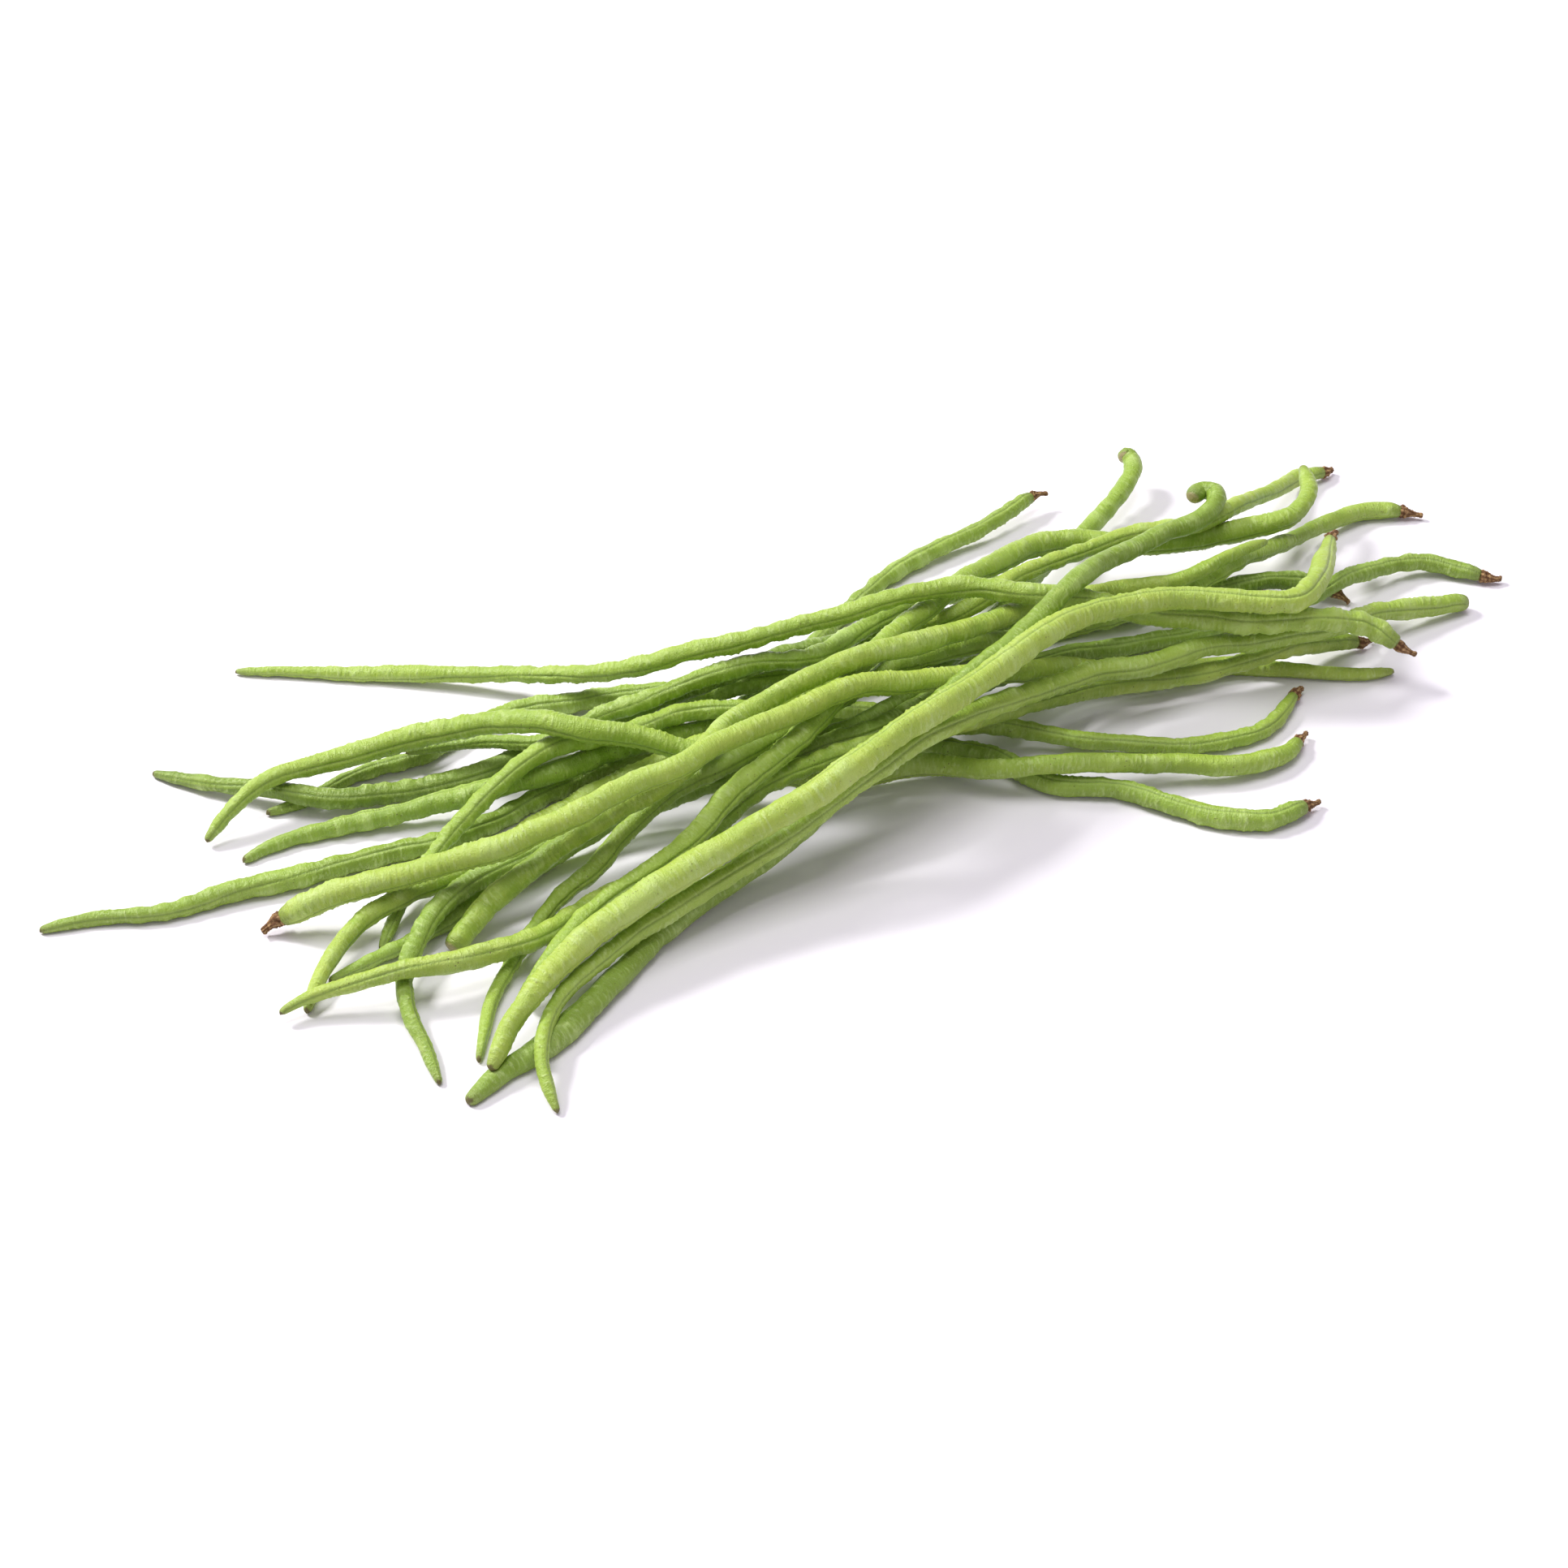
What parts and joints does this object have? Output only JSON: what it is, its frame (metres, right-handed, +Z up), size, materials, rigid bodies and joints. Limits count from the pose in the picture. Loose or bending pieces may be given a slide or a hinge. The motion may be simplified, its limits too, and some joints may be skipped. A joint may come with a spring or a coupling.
{
  "type": "yardlong bean bunch",
  "caption": "Loose bunch of long slender green bean pods lying crossed in a low heap, with thin tips at one side and dry brown stem stubs at the other.",
  "frame": {"origin": "on the surface the bunch lies on, under the middle of its bounding box", "axes": "+X along the bunch, towards the end where most of the stem stubs are; +Z up from the surface; +Y away from a viewer standing at the near side"},
  "size_m": [0.5366, 0.3646, 0.0535],
  "materials": {
    "pod_01": "satin yellow-green pod skin",
    "stem_01": "dry matt brown stem and calyx",
    "pod_02": "satin yellow-green pod skin",
    "stem_02": "dry matt brown stem and calyx",
    "pod_03": "satin yellow-green pod skin",
    "stem_03": "dry matt brown stem and calyx",
    "pod_04": "satin yellow-green pod skin",
    "stem_04": "dry matt brown stem and calyx",
    "pod_05": "satin yellow-green pod skin",
    "pod_06": "satin yellow-green pod skin",
    "stem_06": "dry matt brown stem and calyx",
    "pod_07": "satin yellow-green pod skin",
    "stem_07": "dry matt brown stem and calyx",
    "pod_08": "satin yellow-green pod skin",
    "stem_08": "dry matt brown stem and calyx",
    "pod_09": "satin yellow-green pod skin",
    "pod_10": "satin yellow-green pod skin",
    "stem_10": "dry matt brown stem and calyx",
    "pod_11": "satin yellow-green pod skin",
    "stem_11": "dry matt brown stem and calyx",
    "pod_12": "satin yellow-green pod skin",
    "stem_12": "dry matt brown stem and calyx",
    "pod_13": "satin yellow-green pod skin",
    "pod_14": "satin yellow-green pod skin",
    "pod_15": "satin yellow-green pod skin",
    "stem_15": "dry matt brown stem and calyx",
    "pod_16": "satin yellow-green pod skin",
    "stem_16": "dry matt brown stem and calyx",
    "pod_17": "satin yellow-green pod skin",
    "pod_18": "satin yellow-green pod skin",
    "pod_19": "satin yellow-green pod skin",
    "stem_19": "dry matt brown stem and calyx"
  },
  "bodies": {
    "root": {"pod_01": "pod_01", "stem_01": "stem_01", "pod_02": "pod_02", "stem_02": "stem_02", "pod_03": "pod_03", "stem_03": "stem_03", "pod_04": "pod_04", "stem_04": "stem_04", "pod_05": "pod_05", "pod_06": "pod_06", "stem_06": "stem_06", "pod_07": "pod_07", "stem_07": "stem_07", "pod_08": "pod_08", "stem_08": "stem_08", "pod_09": "pod_09", "pod_10": "pod_10", "stem_10": "stem_10", "pod_11": "pod_11", "stem_11": "stem_11", "pod_12": "pod_12", "stem_12": "stem_12", "pod_13": "pod_13", "pod_14": "pod_14", "pod_15": "pod_15", "stem_15": "stem_15", "pod_16": "pod_16", "stem_16": "stem_16", "pod_17": "pod_17", "pod_18": "pod_18", "pod_19": "pod_19", "stem_19": "stem_19"}
  },
  "joints": []
}
